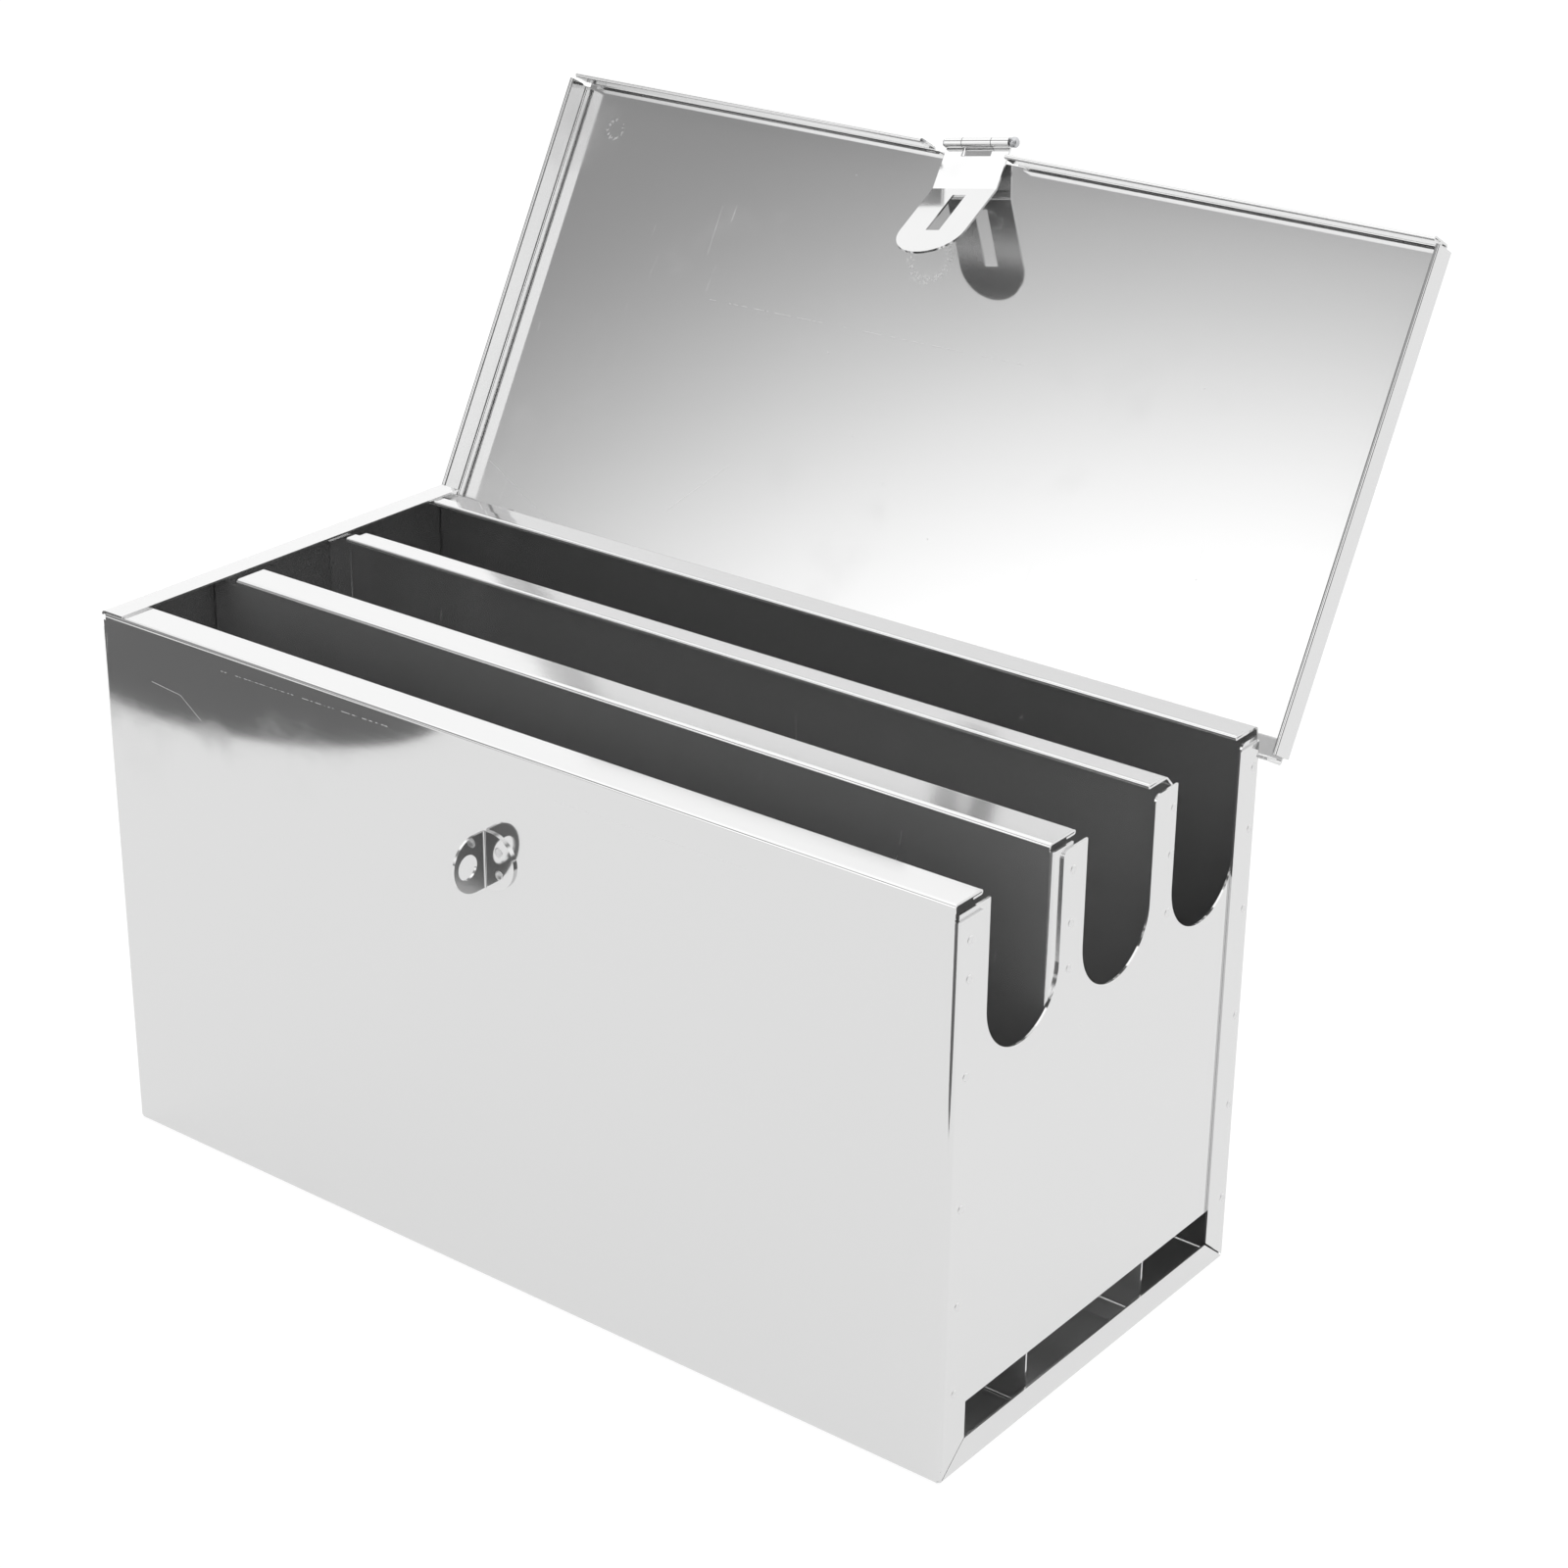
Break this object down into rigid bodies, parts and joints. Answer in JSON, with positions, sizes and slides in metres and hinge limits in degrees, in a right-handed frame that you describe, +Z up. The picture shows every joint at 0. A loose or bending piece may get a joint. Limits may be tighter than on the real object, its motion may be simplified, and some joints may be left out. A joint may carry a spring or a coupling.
{
  "type": "lidded dispensing box",
  "caption": "Folded stainless box with divided lanes, round-bottomed notches and a bottom slot at one end, a hinged tray lid and a padlock hasp.",
  "frame": {"origin": "centre of the box's underside, on the floor", "axes": "+X along the box to its notched end, +Y to the hinged rear side, +Z up"},
  "size_m": [0.41, 0.313, 0.383],
  "materials": {
    "stainless": "bright annealed, near mirror",
    "pin_steel": "satin"
  },
  "bodies": {
    "box": {"box_shell": "stainless", "notched_end_panel": "stainless", "plain_end_panel": "stainless", "front_divider": "stainless", "rear_divider": "stainless", "padlock_staple": "stainless", "left_hinge_box_leaf": "stainless", "left_hinge_pin": "pin_steel", "right_hinge_box_leaf": "stainless", "right_hinge_pin": "pin_steel"},
    "lid": {"lid": "stainless", "left_hinge_lid_leaf": "stainless", "right_hinge_lid_leaf": "stainless"},
    "hasp": {"hasp_leaf": "stainless", "hasp_pin": "pin_steel"}
  },
  "joints": [
    {"name": "lid_hinge", "type": "hinge", "parent": "box", "child": "lid", "pos_m": [0, 0.09553, 0.21055], "axis": [-1, 0, 0], "range_deg": [-118.75, 0]},
    {"name": "hasp_swing", "type": "hinge", "parent": "lid", "child": "hasp", "pos_m": [-0.003, 0.19922, 0.37845], "axis": [0.9863, 0.0794, 0.1447], "range_deg": [-79, 0]}
  ],
  "couplings": [
    {"joint": "hasp_swing", "follows": "lid_hinge", "ratio": 0.665}
  ]
}
